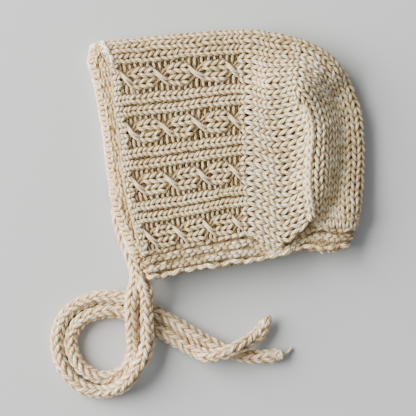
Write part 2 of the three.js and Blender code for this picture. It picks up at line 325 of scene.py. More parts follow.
radius = add(
    yarn_tree, "ShaderNodeMath", {0: thickness, 1: given["Yarn Radius"]}, operation="MULTIPLY"
)
tube = add(
    yarn_tree, "GeometryNodeCurveToMesh",
    {
        "Curve": line, "Profile Curve": ring.outputs[0], "Scale": radius.outputs[0],
        "Fill Caps": True,
    },
)
# The depth of the yarn's surface is its core's depth plus how far out that side of it looks.
from_core = add(yarn_tree, "ShaderNodeVectorMath", {0: here, 1: core}, operation="SUBTRACT")
outer = add(
    yarn_tree, "ShaderNodeVectorMath", {0: from_core.outputs[0], 1: out_way},
    operation="DOT_PRODUCT",
)
surface_depth = add(
    yarn_tree, "ShaderNodeMath", {0: outer.outputs["Value"], 1: 1 / MM, 2: core_depth},
    operation="MULTIPLY_ADD",
)
deepened = add(
    yarn_tree, "GeometryNodeStoreNamedAttribute",
    {"Geometry": tube.outputs[0], "Name": "depth", "Value": surface_depth.outputs[0]},
    data_type="FLOAT", domain="POINT",
)
smooth = add(
    yarn_tree, "GeometryNodeSetShadeSmooth",
    {"Geometry": deepened.outputs[0], "Shade Smooth": True},
)
whole = add(yarn_tree, "GeometryNodeRealizeInstances", {"Geometry": smooth.outputs[0]})
dressed = add(
    yarn_tree, "GeometryNodeSetMaterial", {"Geometry": whole.outputs[0], "Material": given["Yarn"]}
)
add(yarn_tree, "NodeGroupOutput", {"Geometry": dressed.outputs[0]})
print("nodes in the yarn tree:", len(yarn_tree.nodes))

# %% [markdown]
# ## From strands to a finished piece
# A chart is a list of strands, each a run of points with the yarn's thickness at each point. They
# become one mesh of edges, go through the yarn tree, and are kept as a plain mesh. A tube whose
# faces point inwards would shade wrongly, so the enclosed volume is measured: it must be positive.

# %% Strands into mesh
YARN_SIDES = 8
OPEN_DEPTH = 0.9  # mm: how far out a strand lies that is on no cloth


def edge_mesh(name, strands):
    points = np.vstack([s[:, :3] for s in strands])
    thick = np.concatenate([s[:, 3] for s in strands])
    painted_lights = np.concatenate(
        [s[:, 4] if s.shape[1] > 4 else np.zeros(len(s)) for s in strands]
    )
    starts = np.cumsum([0] + [len(s) for s in strands])
    edges = np.vstack([
        np.stack([np.arange(a, b - 1), np.arange(a + 1, b)], 1) for a, b in zip(starts, starts[1:])
    ])
    mesh = bpy.data.meshes.new(name)
    mesh.vertices.add(len(points))
    mesh.vertices.foreach_set("co", points.astype(np.float32).ravel())
    mesh.edges.add(len(edges))
    mesh.edges.foreach_set("vertices", edges.astype(np.int32).ravel())
    # Each point's painted light: above 0 painted paler, below 0 painted darker.
    for label, values in (("thickness", thick), ("painted_light", painted_lights)):
        kept = mesh.attributes.new(label, "FLOAT", "POINT")
        kept.data.foreach_set("value", values.astype(np.float32))
    mesh.update()
    return mesh


def set_input(modifier, label, value):
    for item in modifier.node_group.interface.items_tree:
        if item.item_type == "SOCKET" and item.in_out == "INPUT" and item.name == label:
            modifier[item.identifier] = value


def enclosed(mesh):
    """The volume inside a mesh, in cubic metres, and its number of triangles."""
    corners = np.empty(len(mesh.vertices) * 3, np.float32)
    mesh.vertices.foreach_get("co", corners)
    mesh.calc_loop_triangles()
    triangles = np.empty(len(mesh.loop_triangles) * 3, np.int32)
    mesh.loop_triangles.foreach_get("vertices", triangles)
    a, b, c = corners.reshape(-1, 3)[triangles.reshape(-1, 3)].astype(float).transpose(1, 0, 2)
    return float(np.einsum("ij,ij->i", a, np.cross(b, c)).sum() / 6), len(a)


def knit_up(name, strands, cloth, yarn_radius, yarn):
    """One piece of yarn: the strands' charts laid on the cloth, or in place where cloth is None."""
    mesh = edge_mesh(name, strands)
    piece = bpy.data.objects.new(name, mesh)
    scene.collection.objects.link(piece)
    inputs = {"Yarn Radius": yarn_radius * MM, "Sides": YARN_SIDES, "Yarn": yarn}
    if cloth is None:
        count = len(mesh.vertices)
        depths = mesh.attributes.new("depth", "FLOAT", "POINT")
        depths.data.foreach_set("value", [OPEN_DEPTH] * count)
        outs = mesh.attributes.new("out", "FLOAT_VECTOR", "POINT")
        outs.data.foreach_set("vector", [0, 0, 1] * count)
    else:
        inputs.update({"On Cloth": True, "Cloth": cloth})
    knitting = piece.modifiers.new("knit", "NODES")
    knitting.node_group = yarn_tree
    for label, value in inputs.items():
        set_input(knitting, label, value)
    evaluated = piece.evaluated_get(bpy.context.evaluated_depsgraph_get())
    solid = bpy.data.meshes.new_from_object(evaluated)
    piece.modifiers.clear()
    piece.data = solid
    solid.name = name
    volume, triangles = enclosed(solid)
    if volume < 0:
        solid.flip_normals()
    print(f"{name}: {len(strands)} strands, {triangles} triangles, {abs(volume) * 1e6:.1f} cm3")
    return piece


def finish_piece(piece, node):
    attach(piece, "root")
    if node:
        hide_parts(node)


print("sides of a yarn's tube:", YARN_SIDES)

# %% [markdown]
# ## The ties' routes
# Each tie is a free knitted cord, 26 to 27 cm long, lying where it fell: round a loop, back under
# itself and out to its end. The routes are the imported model's own, so each tie lies inside the
# solid that it replaces. A smooth curve through spaced points, with the centripetal rule, never
# overshoots between them.

# %% Routes of the two ties, mm
OFF_CENTRE = np.array([0.36, 0.4, 0.0])
F, T = 3.6, 10.9  # height of a tie's middle on the floor, and across another tie
TIE_FAR = [
    [-58.2, -23.0, F], [-58.6, -31.0, F], [-56.6, -41.0, F], [-53.2, -51.0, F], [-49.8, -59.0, 3.8],
    [-48.6, -66.0, 6.2], [-50.2, -72.5, 9.8], [-51.4, -79.0, T], [-51.2, -86.0, T],
    [-50.8, -93.0, 9.0], [-50.5, -100.0, 4.6], [-50.9, -107.0, F], [-54.6, -114.6, F],
    [-61.6, -118.6, F], [-70.2, -118.4, F], [-78.6, -112.9, F], [-83.4, -104.6, F],
    [-83.4, -96.2, F], [-78.2, -88.2, F], [-69.3, -84.3, F], [-60.3, -83.6, F], [-52.0, -85.6, F],
    [-44.4, -89.8, F], [-37.0, -94.2, F], [-28.2, -98.8, F], [-19.6, -103.9, 4.6],
    [-11.0, -107.0, 8.4], [-2.2, -105.6, T], [5.4, -102.2, 9.8], [12.4, -98.6, 5.6],
    [18.0, -93.6, 4.0], [21.2, -86.8, 5.0],
]
TIE_NEAR = [
    [-46.6, -62.6, 15.0], [-44.8, -68.2, 14.4], [-43.2, -74.4, 12.5], [-43.4, -81.0, T],
    [-43.2, -91.0, T], [-42.9, -98.0, 9.6], [-44.4, -105.6, 8.6], [-47.6, -112.6, 9.6],
    [-52.6, -119.6, 9.2], [-59.2, -124.6, 6.6], [-67.0, -126.6, 4.0], [-76.4, -124.6, F],
    [-84.4, -118.4, F], [-89.6, -109.4, F], [-91.2, -99.2, F], [-89.0, -89.4, F], [-82.6, -81.8, F],
    [-74.0, -77.6, F], [-64.6, -76.0, F], [-55.4, -77.0, F], [-46.6, -80.2, F], [-38.6, -84.4, F],
    [-30.0, -89.2, F], [-21.4, -94.4, F], [-12.8, -99.2, F], [-4.2, -103.4, F], [4.6, -106.6, F],
    [13.4, -108.0, F], [21.0, -107.8, F], [27.6, -107.0, F],
]
TIE_TAIL = [[28.6, -106.9, 3.2], [30.6, -106.2, 1.9], [32.4, -104.9, 1.3], [33.6, -103.2, 1.3]]


def span(start, end, leave, reach, share):
    """The smooth curve between two points that leaves one and reaches the other as told."""
    cubic = (2 * start - 2 * end + leave + reach) * share**3
    square = (3 * end - 3 * start - 2 * leave - reach) * share**2
    return cubic + square + leave * share + start


def smooth_route(points, steps=12):
    p = np.array(points, float)
    p = np.vstack([2 * p[0] - p[1], p, 2 * p[-1] - p[-2]])
    share = np.linspace(0, 1, steps, endpoint=False)[:, None]
    runs = []
    for a, b, c, d in zip(p, p[1:], p[2:], p[3:]):
        before, between, after = (
            math.sqrt(np.linalg.norm(q - r)) for q, r in ((b, a), (c, b), (d, c))
        )
        leave = (b - a) / before - (c - a) / (before + between) + (c - b) / between
        reach = (c - b) / between - (d - b) / (between + after) + (d - c) / after
        runs.append(span(b, c, leave * between, reach * between, share))
    return np.vstack([*runs, p[-2:-1]]) - OFF_CENTRE


def walked(line):
    """The length gone at each point of a line."""
    return np.concatenate([[0], np.cumsum(np.linalg.norm(np.diff(line, axis=0), axis=1))])


def along_line(line, distances):
    gone = walked(line)
    return np.stack([np.interp(distances, gone, line[:, i]) for i in range(line.shape[1])], -1)


far_route, near_route, tail_route = (smooth_route(r) for r in (TIE_FAR, TIE_NEAR, TIE_TAIL))
print("tie lengths, mm:", round(walked(far_route)[-1], 1), round(walked(near_route)[-1], 1))

# %% [markdown]
# ## A cloth to lay stitches on
# A cloth is a smooth grid at the middle of the knitting's thickness. It is never shown. Its UV map,
# "share", says how far across and along each corner is, and "outward" says which way is out. For a
# cord the cloth is a narrow tube around the route. A soft cord lies a little flatter underneath.

# %% Grid cloth and tube cloth
TUBE_POINTS = 25  # round a cord's cloth
FLATTER_BELOW = 0.82


def cloth_object(name, places, outs, across, along):
    rows, columns = places.shape[:2]
    mesh = bpy.data.meshes.new(name)
    index = np.arange(rows * columns).reshape(rows, columns)
    corners = [index[:-1, :-1], index[:-1, 1:], index[1:, 1:], index[1:, :-1]]
    quads = np.stack(corners, -1).reshape(-1, 4)
    mesh.from_pydata((places.reshape(-1, 3) * MM).tolist(), [], quads.tolist())
    shares = np.stack(np.broadcast_arrays(across[None, :], along[:, None]), -1).reshape(-1, 2)
    uv = mesh.uv_layers.new(name="share")
    uv.data.foreach_set("uv", shares[quads.ravel()].astype(np.float32).ravel())
    kept = mesh.attributes.new("outward", "FLOAT_VECTOR", "POINT")
    kept.data.foreach_set("vector", outs.reshape(-1, 3).astype(np.float32).ravel())
    cloth = bpy.data.objects.new(name, mesh)
    scene.collection.objects.link(cloth)
    return cloth


def unit(v):
    """Directions of length 1."""
    return v / np.maximum(np.linalg.norm(v, axis=-1, keepdims=True), 1e-9)


def tube_cloth(name, route, radius_at, rows, turn_at):
    total = walked(route)[-1]
    gone = np.linspace(0, total, rows)
    centre = along_line(route, gone)
    forward = unit(np.gradient(centre, axis=0))
    sideways = unit(np.cross(forward, [0, 0, 1.0]))
    upwards = np.cross(sideways, forward)
    angle = np.linspace(0, 2 * math.pi, TUBE_POINTS)[None, :, None]
    angle = angle + turn_at(gone / total)[:, None, None]
    outs = np.cos(angle) * upwards[:, None] + np.sin(angle) * sideways[:, None]
    outs[..., 2] *= np.where(outs[..., 2] < 0, FLATTER_BELOW, 1)
    places = centre[:, None] + outs * radius_at(gone, total)[:, None, None]
    return cloth_object(name, places, outs, np.linspace(0, 1, TUBE_POINTS), np.linspace(0, 1, rows))


print("points round a cord's cloth:", TUBE_POINTS)

# %% [markdown]
# ## The shape of one stitch
# Seen flat, a stitch is an open loop: its two legs lean apart as they rise, so a column of
# stitches looks like a chain of Vs, and its head and feet pass behind the legs of the next row.
# Three sine waves draw it. Going once round the angle t, the yarn moves one column across and
# sways back twice, goes up the cloth and down again once, and comes to the front twice.

# %% One stitch
STITCH_STEPS = 16
TURN = np.linspace(0, 2 * math.pi, STITCH_STEPS, endpoint=False)


def stitch(
    left, width, course, reach=0.94, depth=1.15, sway=0.25, purl=1.0, stout=1.0, slope=0.0, lift=0.0
):
    """Its points, one row each: across, along in courses, out in mm, and the yarn's thickness."""
    across = left + width * (TURN / (2 * math.pi) + sway * np.sin(2 * TURN))
    along = course + 0.5 - reach * np.cos(TURN) + slope * TURN / (2 * math.pi)
    out = lift - depth * purl * np.cos(2 * TURN)
    thick = stout * (0.88 - 0.16 * purl * np.cos(2 * TURN))
    return np.stack([across, along, out, thick], 1)


def painted_light(points, value):
    """The same points with light or shade painted on them: above 0 painted paler, below 0 darker.
    """
    return np.column_stack([points, np.broadcast_to(value, len(points))])


print("a stitch is", STITCH_STEPS, "points, up to", round(stitch(0, 1, 0)[:, 2].max(), 2), "mm out")

# %% [markdown]
# ## Uneven by hand
# Machine knitting is even; hand knitting isn't. Each stitch is a little tighter or looser than its
# neighbours. A seeded table of small pushes, blended smoothly between stitches, moves the strands
# together, so that loops still catch each other.

# %% Small seeded pushes
PUSH_TABLE = 90  # stitches each way, after which the pushes repeat


def uneven(points, seed, across_step, amount=(0.32, 0.09, 0.16)):
    rng = np.random.default_rng(seed)
    table = rng.normal(size=(PUSH_TABLE, PUSH_TABLE, 3)).clip(-2, 2)
    # The table starts beyond the chart's own left and lower edges.
    x, y = points[:, 0] / across_step + 44.0, points[:, 1] + 3.0
    i, j = (np.floor(v).astype(int) % (PUSH_TABLE - 1) for v in (x, y))
    fx, fy = ((v - np.floor(v)) for v in (x, y))
    fx, fy = fx * fx * (3 - 2 * fx), fy * fy * (3 - 2 * fy)
    below = table[i, j] * (1 - fx)[:, None] + table[i + 1, j] * fx[:, None]
    above = table[i, j + 1] * (1 - fx)[:, None] + table[i + 1, j + 1] * fx[:, None]
    moved = points.copy()
    moved[:, :3] += (below * (1 - fy)[:, None] + above * fy[:, None]) * amount
    return moved


print("pushes in the table:", PUSH_TABLE**2)

# %% [markdown]
# ## Knitted ties
# A tie is three stitches knitted round and round, so the yarn climbs a slow helix and the cord
# shows one plump chain of Vs from every side. The chart is one long strand: each stitch is a third
# of a turn, and a third of a course further on. The far tie closes to a point, the near one ends in
# a small knot with the yarn's tail hanging out.

# %% Knit the two ties
TIE_COURSE = 4.9  # mm of cord to a course
TIE_MIDDLE = 2.05  # mm from the cord's centre to the middle of its stitches
TIE_START, TIE_CLOSING = 0.6, 1.2  # courses before the first stitch and at the closed end
TIE_ROWS = 220  # of its cloth
# painted shade over the whole cord
TIE_SHADE = -0.05


def tie_chart(total):
    courses = total / TIE_COURSE
    count = int(3 * (courses - TIE_CLOSING))
    run = np.vstack([
        stitch(k, 1.0, k / 3 + TIE_START, reach=1.0, depth=0.8, sway=0.3, slope=1 / 3, stout=1.02)
        for k in range(count)
    ])
    centred = [count / 2, 0, 0, 0]
    run = uneven(run - centred, 41, 1.0, (0.07, 0.06, 0.18)) + centred
    round_share, along_share = ((run[:, 0] - 0.5) / 3) % 1.0, np.clip(run[:, 1] / courses, 0, 1)
    return painted_light(np.stack([round_share, along_share, run[:, 2], run[:, 3]], 1), TIE_SHADE)


def drift(share):
    """How far the cord has rolled over, in radians, as it fell."""
    return 0.35 * np.sin(share * 9.0) + 0.2 * np.sin(share * 23.0)


def pointed(gone, total):
    """The far tie's cloth narrows over its last 9 mm."""
    return TIE_MIDDLE * np.clip((total - gone) / 9.0, 0.12, 1.0) ** 0.7


def even(gone, total):
    """The near tie's keeps its width up to the knot."""
    return TIE_MIDDLE * np.clip((total - gone) / 3.0, 0.5, 1.0)


def tie(name, route, radius_at):
    cloth = tube_cloth(name + "_cloth", route, radius_at, TIE_ROWS, drift)
    chart = tie_chart(walked(route)[-1])
    piece = knit_up(name, [chart], cloth, yarn_radius=1.22, yarn=tie_cotton)
    bpy.data.objects.remove(cloth)
    return piece


tie_far = tie("knitted_tie_far", far_route, pointed)
tie_near = tie("knitted_tie_near", near_route, even)

# %% [markdown]
# ## The near tie's end
# The yarn is drawn through the last stitches, wound round the cord's end and cut, which leaves a
# small knot and a short tail. Both are drawn in their real places: the knot as a coil of two and a
# half turns, the tail along its own route.

# %% A knot and the yarn's tail
KNOT_TURNS, KNOT_POINTS, TAIL_POINTS = 2.4, 60, 24
KNOT_WIDTH, KNOT_HEIGHT = 2.0, 1.9  # mm from the cord's centre to the wound yarn
end = near_route[-1]
forward = unit(near_route[-1] - near_route[-4])
side = np.array([-forward[1], forward[0], 0.0])
turns = np.linspace(0, KNOT_TURNS * 2 * math.pi, KNOT_POINTS)
knot = end + np.outer(np.linspace(-2.2, 0.8, KNOT_POINTS), forward)
knot += np.outer(np.cos(turns) * KNOT_WIDTH, side)
knot += np.outer(np.sin(turns) * KNOT_HEIGHT + 0.1, [0, 0, 1.0])
tail_line = np.vstack([end - forward * 1.5 + [0, 0, -0.2], tail_route])
tail_line = along_line(tail_line, np.linspace(0, walked(tail_line)[-1], TAIL_POINTS))
strands = [
    np.column_stack([knot * MM, np.full(KNOT_POINTS, 0.95)]),
    np.column_stack([tail_line * MM, np.linspace(1.0, 0.75, TAIL_POINTS)]),
]
tie_tail = knit_up(
    "tie_end_knot_and_tail", strands, cloth=None, yarn_radius=1.1, yarn=tie_cotton
)

# %% [markdown]
# ## Finishing the ties
# Each tie, and the knot with its tail, is parented to the root, and the imported part that it
# replaces is hidden. The knot and tail belong to the near tie.

# %% The two free cords
for piece, node, route, end_pieces in (
    (tie_far, "tie_far", far_route, []), (tie_near, "tie_near", near_route, [tie_tail]),
):
    finish_piece(piece, node)
finish_piece(tie_tail, "tie_tail")
print("free cords:", [piece.name for piece in (tie_far, tie_near)])

# %% [markdown]
# ## The cloths of the bonnet
# The bonnet's own shape is a set of rows drawn in plan, each from the fold down the near side and
# down the far side, with a loft, a rounded rim, and a few folds and dents that lift or sink the
# near side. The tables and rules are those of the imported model, traced here at the middle of the
# wall. A cloth could be draped by simulation, but knitting is held in shape by its own stitches.

# %% Plan of the knitting, mm
WALL, LOFT, RIM_DEPTH = 3.8, 17.2, 9.0
CABLED_COURSES, CROWN_COURSES = 24, 33
SEAM = [[35.8, 31.1], [40.9, 23.5], [43.7, 12], [43.0, -3], [42.4, -18], [43.9, -34.3]]
ROW_COURSES = [0, 12, 24, 28.5, 33]
ROW_FOLDS = [[-70.8, 58.7], [-31, 63.4], [8, 66], [24.2, 64.4], [38.8, 61.2]]
ROW_NEAR = [
    [[-62.4, 47], [-59.6, 26], [-56.6, 5], [-54.6, -15], [-50.6, -33], [-45.1, -54]],
    [[-28.4, 48], [-26.6, 28], [-24.8, 8], [-23.2, -10], [-20.6, -30], [-17.2, -49]],
    [[8.3, 50], [8.8, 30], [9.2, 10], [9.6, -10], [10.1, -27], [10.6, -43.8]],
    [[22.6, 48], [21.9, 30], [24.4, 12], [26.4, -6], [26.8, -26], [27.2, -49.2]],
    SEAM,
]
ROW_FAR = [
    [[-73.0, 49.5], [-69.8, 36], [-65.4, 12], [-62.7, -11], [-59.0, -31], [-50.6, -52.6]],
    [[-33, 46], [-31, 27], [-28.6, 8], [-27, -10], [-24, -30], [-20, -49]],
    [[7, 50], [6.5, 30], [6.5, 10], [7.5, -10], [8.5, -27], [9.5, -43.8]],
    [[22.4, 48], [21.5, 30], [24, 12], [26, -6], [26.4, -23], [27.2, -39.6]],
    SEAM,
]
BACK_RIM = [
    [38.8, 61.2], [49, 56.4], [59.1, 48.1], [66.7, 36], [71.2, 22], [72.7, 5], [72.5, -12.5],
    [71.3, -24], [69.3, -35.4],
]
BAND_FOLDS = [[69.6, -36.2], [65.2, -48.0]]
BAND_NEAR = [
    [[59, -36.4], [52, -36.4], [46, -36.4], [38, -43.6], [30, -50.2], [18.5, -48.4], [8.5, -45.0],
     [-17.2, -49.7], [-45.2, -54.7]],
    [[57, -49.9], [48, -49.8], [41.5, -49.6], [35, -50.8], [29, -53.0], [19, -55.0], [4, -57.4],
     [-17, -60.4], [-42.1, -65.2]],
]
BAND_FAR = [
    [[57, -35.6], [43.9, -35.0], [27.2, -40.3], [9.5, -44.5], [-20, -49.7], [-50.2, -53.4]],
    [[55, -49.4], [40, -49.6], [22.5, -52.8], [4, -56.4], [-17, -59.6], [-42.6, -65.0]],
]
FOLDS = [  # line, rise, reach
    ([[26, 37], [36, 38]], 7, 11),  # knuckle where the seam begins
    ([[40, 29], [46.6, 12], [46.4, -8], [45.4, -24]], 5, 8),  # seam ridge
    ([[58, 33], [61.2, 16], [61.2, -4], [59, -19], [54, -27]], -7.5, 7.2),  # dent down the back
    ([[-50, -48], [-43, -62]], 2.6, 12),  # face corner lifted by the tie
]
NAPE = [([[62, -42], [46, -41], [40, -47]], -6, 8)]  # sinks the back and the band below the side
LIFTS = [([[-58, -26], [-54, -44], [-48.5, -62]], 9.2, 9)]  # far edge over the tie
MIDDLE_OF_FAR = 2.4  # height of the far side's stitches, so that their yarn just clears the floor
LIFT_START = 0.1  # a lift smaller than this leaves the far side on the floor
print("rows that the front is drawn with:", len(ROW_COURSES))

# %% [markdown]
# ## From plan to cloth
# Each drawn row runs through a few points in plan. It gets its height from the loft and the folds,
# and bends round the rim where the two sides meet, on a quarter of an ellipse each. The rows side
# by side make the cloth, which goes on a little past its ends, so that stitches at its very edge
# still find a place on it.

# %% Tracing a row over its rounded rim
FLAT_STEPS, RIM_STEPS = 80, 20
FRONT_FACETS, BACK_FACETS, BAND_FACETS = 80, 40, 90  # across each side's cloth
MARGIN = 1.2  # courses that each cloth goes on for at both its ends


def plan(points, steps=40):
    p = np.array([points[0], *points, points[-1]], float)
    share = np.linspace(0, 1, steps, endpoint=False)[:, None]
    runs = [
        span(b, c, (c - a) / 2, (d - b) / 2, share) for a, b, c, d in zip(p, p[1:], p[2:], p[3:])
    ]
    return np.vstack([*runs, p[-2:-1]])


def hills(folds, xy):
    """The height that folds and dents add at each place."""
    height = np.zeros(len(xy))
    for line, rise, reach in folds:
        nearest = np.full(len(xy), np.inf)
        for a, b in zip(np.array(line, float), np.array(line[1:], float)):
            share = np.clip((xy - a) @ (b - a) / ((b - a) @ (b - a)), 0, 1)
            off = np.linalg.norm(xy - a - share[:, None] * (b - a), axis=1)
            nearest = np.minimum(nearest, off)
        height += rise * np.exp(-((nearest / reach) ** 2))
    return height


def side_height(xy):
    return LOFT + hills(FOLDS, xy)


def back_height(xy):
    return side_height(xy) + hills(NAPE, xy)


def far_height(xy):
    return np.maximum(0, hills(LIFTS, xy) - LIFT_START)


def trace_row(fold, near, far, facets, near_height=side_height):
    """A row's points, from the near side's lower edge over the fold to the far side's."""
    lines = [plan([fold, *near]), plan([fold, *far])]
    high = near_height(along_line(lines[0], [RIM_DEPTH]))[0] - WALL / 2
    low = far_height(along_line(lines[1], [RIM_DEPTH]))[0] + MIDDLE_OF_FAR
    halves = []
    for line, side in zip(lines, (1, -1)):
        total = walked(line)[-1]
        flat = along_line(line, np.linspace(total, RIM_DEPTH, FLAT_STEPS, endpoint=False))
        z = near_height(flat) - WALL / 2 if side > 0 else far_height(flat) + MIDDLE_OF_FAR
        bend = np.linspace(math.pi / 2, 0, RIM_STEPS)
        rim = along_line(line, RIM_DEPTH - (RIM_DEPTH - WALL / 2) * np.cos(bend))
        rim_z = (high + low) / 2 + side * (high - low) / 2 * np.sin(bend)
        run = np.vstack([np.column_stack([flat, z]), np.column_stack([rim, rim_z])])
        halves.append(along_line(run, np.linspace(0, walked(run)[-1], facets + 1)))
    return np.vstack([halves[0], halves[1][::-1][1:]])


def bonnet_cloth(name, rows, along, facets):
    """A cloth from traced rows, each with its own course."""
    places = np.array(rows) - OFF_CENTRE
    margin = MARGIN * (places[1] - places[0]) / (along[1] - along[0])
    end_margin = MARGIN * (places[-1] - places[-2]) / (along[-1] - along[-2])
    places = np.concatenate([[places[0] - margin], places, [places[-1] + end_margin]])
    along = np.concatenate([[along[0] - MARGIN], along, [along[-1] + MARGIN]])
    outs = unit(np.cross(np.gradient(places, axis=1), np.gradient(places, axis=0)))
    if outs[len(places) // 2, facets // 2, 2] < 0:
        outs = -outs
    across_share = np.linspace(0, 1, 2 * facets + 1)
    cloth = cloth_object(name, places, outs, across_share, (along + MARGIN) / (along[-1] + MARGIN))
    spans = np.linalg.norm(np.diff(places[1:-1], axis=1), axis=2).sum(1) / 2
    print(f"{name}: {places.shape[0]} rows, side {spans[0]:.0f} to {spans[-1]:.0f} mm")
    return cloth


print("points traced on each side of a row:", FLAT_STEPS + RIM_STEPS)

# %% [markdown]
# ## Rows for each cloth
# The front and the crown are one cloth, whose rows blend smoothly between five drawn rows. The back
# of the head goes from its rim on the fold to the seams, and the neck band follows both below.

# %% Cloths for the front and crown, the back of the head and the neck band
BACK_COURSES, BAND_COURSES = 28, 6
RIM_SHARES = np.linspace(0, 1, 57)  # along the rim of the back of the head
CORNER_SHARE, CORNER_SOFTNESS = 0.36, 0.012  # where the rows have turned the crown's corner
EVEN_SHARE = 0.16  # how much of the seam the rows share out evenly all the same


def blend(points, place):
    """The point at a place, counted in points, on the smooth curve through them."""
    p = np.array([points[0], *points, points[-1]], float)
    i = min(int(place), len(points) - 2)
    a, b, c, d = p[i : i + 4]
    return span(b, c, (c - a) / 2, (d - b) / 2, place - i)


def front_row(course):
    """The front's row at a course, blended between the drawn rows."""
    i = max(0, min(len(ROW_COURSES) - 2, sum(c < course for c in ROW_COURSES) - 1))
    place = i + (course - ROW_COURSES[i]) / (ROW_COURSES[i + 1] - ROW_COURSES[i])
    near, far = (
        [blend([row[k] for row in rows], place) for k in range(len(SEAM))]
        for rows in (ROW_NEAR, ROW_FAR)
    )
    return trace_row(blend(ROW_FOLDS, place), near, far, FRONT_FACETS)


def mix(pair, share):
    return np.array(pair[0]) * (1 - share) + np.array(pair[1]) * share


courses = np.arange(0, CROWN_COURSES + 0.01, 0.5)
front_cloth = bonnet_cloth("front_cloth", [front_row(c) for c in courses], courses, FRONT_FACETS)
rim, seam = plan(BACK_RIM), plan(SEAM)
rim_places = along_line(rim, RIM_SHARES * walked(rim)[-1])
# The rows turn the corner of the crown first, and then run down side by side.
after_corner = RIM_SHARES - CORNER_SHARE
turning = 0.5 * (after_corner + np.sqrt(after_corner**2 + CORNER_SOFTNESS))
turning = (turning - turning[0]) / (turning[-1] - turning[0])
turning = EVEN_SHARE * RIM_SHARES + (1 - EVEN_SHARE) * turning
seam_places = along_line(seam, turning * walked(seam)[-1])
back_rows = [
    trace_row(at_rim, [at_seam], [at_seam], BACK_FACETS, back_height)
    for at_rim, at_seam in zip(rim_places, seam_places)
]
back_cloth = bonnet_cloth("back_cloth", back_rows, RIM_SHARES * BACK_COURSES, BACK_FACETS)
band_rows = [
    trace_row(
        *(mix(pair, share) for pair in (BAND_FOLDS, BAND_NEAR, BAND_FAR)), BAND_FACETS, back_height
    )
    for share in np.linspace(0, 1, BAND_COURSES + 1)
]
band_courses = np.linspace(0, BAND_COURSES, BAND_COURSES + 1)
band_cloth = bonnet_cloth("band_cloth", band_rows, band_courses, BAND_FACETS)


def on_cloth(across, points, courses, inset=0.0):
    """Chart points whose own courses are turned into shares along a cloth of that many courses."""
    along = (points[:, 1] + MARGIN) / (courses + 2 * MARGIN)
    return np.column_stack([across.clip(0, 1), along.clip(inset, 1 - inset), points[:, 2:]])


# %% [markdown]
# ## The cabled front
# Each row is one strand. Going down a side from the fold there are three plain columns, then four
# bands of little two-column cables, with two plain columns between bands. Dropped columns beside
# each cable leave open ladders of single bars. Every sixth row the two cable stitches are pulled up
# long and swapped, one across the other, while the next two rows float behind. Each kind of loop
# could be one pattern in the yarn tree, but a crossing's two stitches go through several rows, so
# the rows are drawn as charts and the tree only lays and thickens them.

# %% Columns of the cabled front, and its single bars
PLAIN, CABLE = "plain", "cable"
LADDER, GAP_BAR, FLOAT, FUZZ_AND_SHADE = "ladder", "gap", "float", "fuzz_and_shade"
FOLD_COLUMN = 5.4  # mm wide
BAND = [(LADDER, 2.4), (CABLE, 12.0), (LADDER, 2.4)]
PAIR = [(PLAIN, 5.5), (GAP_BAR, 0.8), (PLAIN, 5.5)]
SIDE_COLUMNS = [(PLAIN, FOLD_COLUMN)] * 3 + (BAND + PAIR) * 3 + BAND
SIDE_WIDTH = sum(w for _, w in SIDE_COLUMNS)
SIDE_WALES = 21
# Column widths where there are no ladders:
PLAIN_WIDTHS = [FOLD_COLUMN] * 3 + ([5.6] * 3 + [5.9] * 2) * 3 + [5.6] * 3
PLAIN_ROWS = {-1: 2, 1: 4}  # rows next to the face edge that are knitted without ladders
LAST_LADDER = 23  # the row where the ladders have closed
FIRST_CROSSING, CROSSING_EVERY, LONG_ROWS = 2, 6, 2  # rows
BARS = {  # height in mm, thickness, points, and painted light, which makes the bar paler
    LADDER: (-0.5, 0.84, 3, 0.3), GAP_BAR: (-0.5, 0.8, 2, 0.12),
    FLOAT: (-1.7, 0.76, 8, 0.34), FUZZ_AND_SHADE: (-1.7, 0.72, 5, 0.16),
}
FOLD_STITCH_PAINTED_SHADE, PLAIN_STITCH_PAINTED_SHADE, CABLE_STITCH_PAINTED_SHADE = -0.09, -0.06, -0.05  # painted shade on whole stitches


def bar(kind, left, width, course):
    out, stout, count, light = BARS[kind]
    x = left + width * np.arange(count) / count
    flat_bar = [x, np.full(count, course - 0.56), np.full(count, out), np.full(count, stout)]
    return painted_light(np.stack(flat_bar, 1), light)


print("columns of a side:", len(SIDE_COLUMNS), "in", round(SIDE_WIDTH, 1), "mm")

# %% [markdown]
# ## Crossed stitches
# A crossing is two long stitches. Each rises over the rows that it skips and goes across from its
# own column to the other, a little sooner than it rises. One is raised in front and one sunk
# behind. On the far side both lie lower, because that side is pressed on the floor.

# %% One long stitch, and one row of the front
CROSSING_HEIGHTS = {-1: (1.5, -0.7), 1: (0.2, -1.2)}  # mm, in front and behind, on each side
# painted shade on the stitch in front, painted light on the one sunk behind
FRONT_PAINTED_SHADE, BEHIND_PAINTED_LIGHT = -0.08, 0.1


def long_stitch(left, own, other, width, course, raised):
    """A cable stitch pulled up over the rows it skips, from its own column across to the other."""
    rise = 0.5 - 0.5 * np.cos(TURN)  # share of the way up
    go = np.clip((rise - 0.1) / 0.8, 0, 1)
    go = go**1.5 * (2.5 - 1.5 * go)  # share of the way across
    centre = own + (other - own) * go
    across = centre + 0.95 * width * (TURN / (2 * math.pi) - 0.5 + 0.16 * np.sin(2 * TURN))
    along = course - 0.56 + rise * (2.12 + LONG_ROWS)
    over = np.sin(TURN) ** 2
    out = -1.0 * np.cos(2 * TURN) * (1 - 0.5 * over) + raised * over
    return np.stack([across, along, out, 0.88 - 0.16 * over], 1)


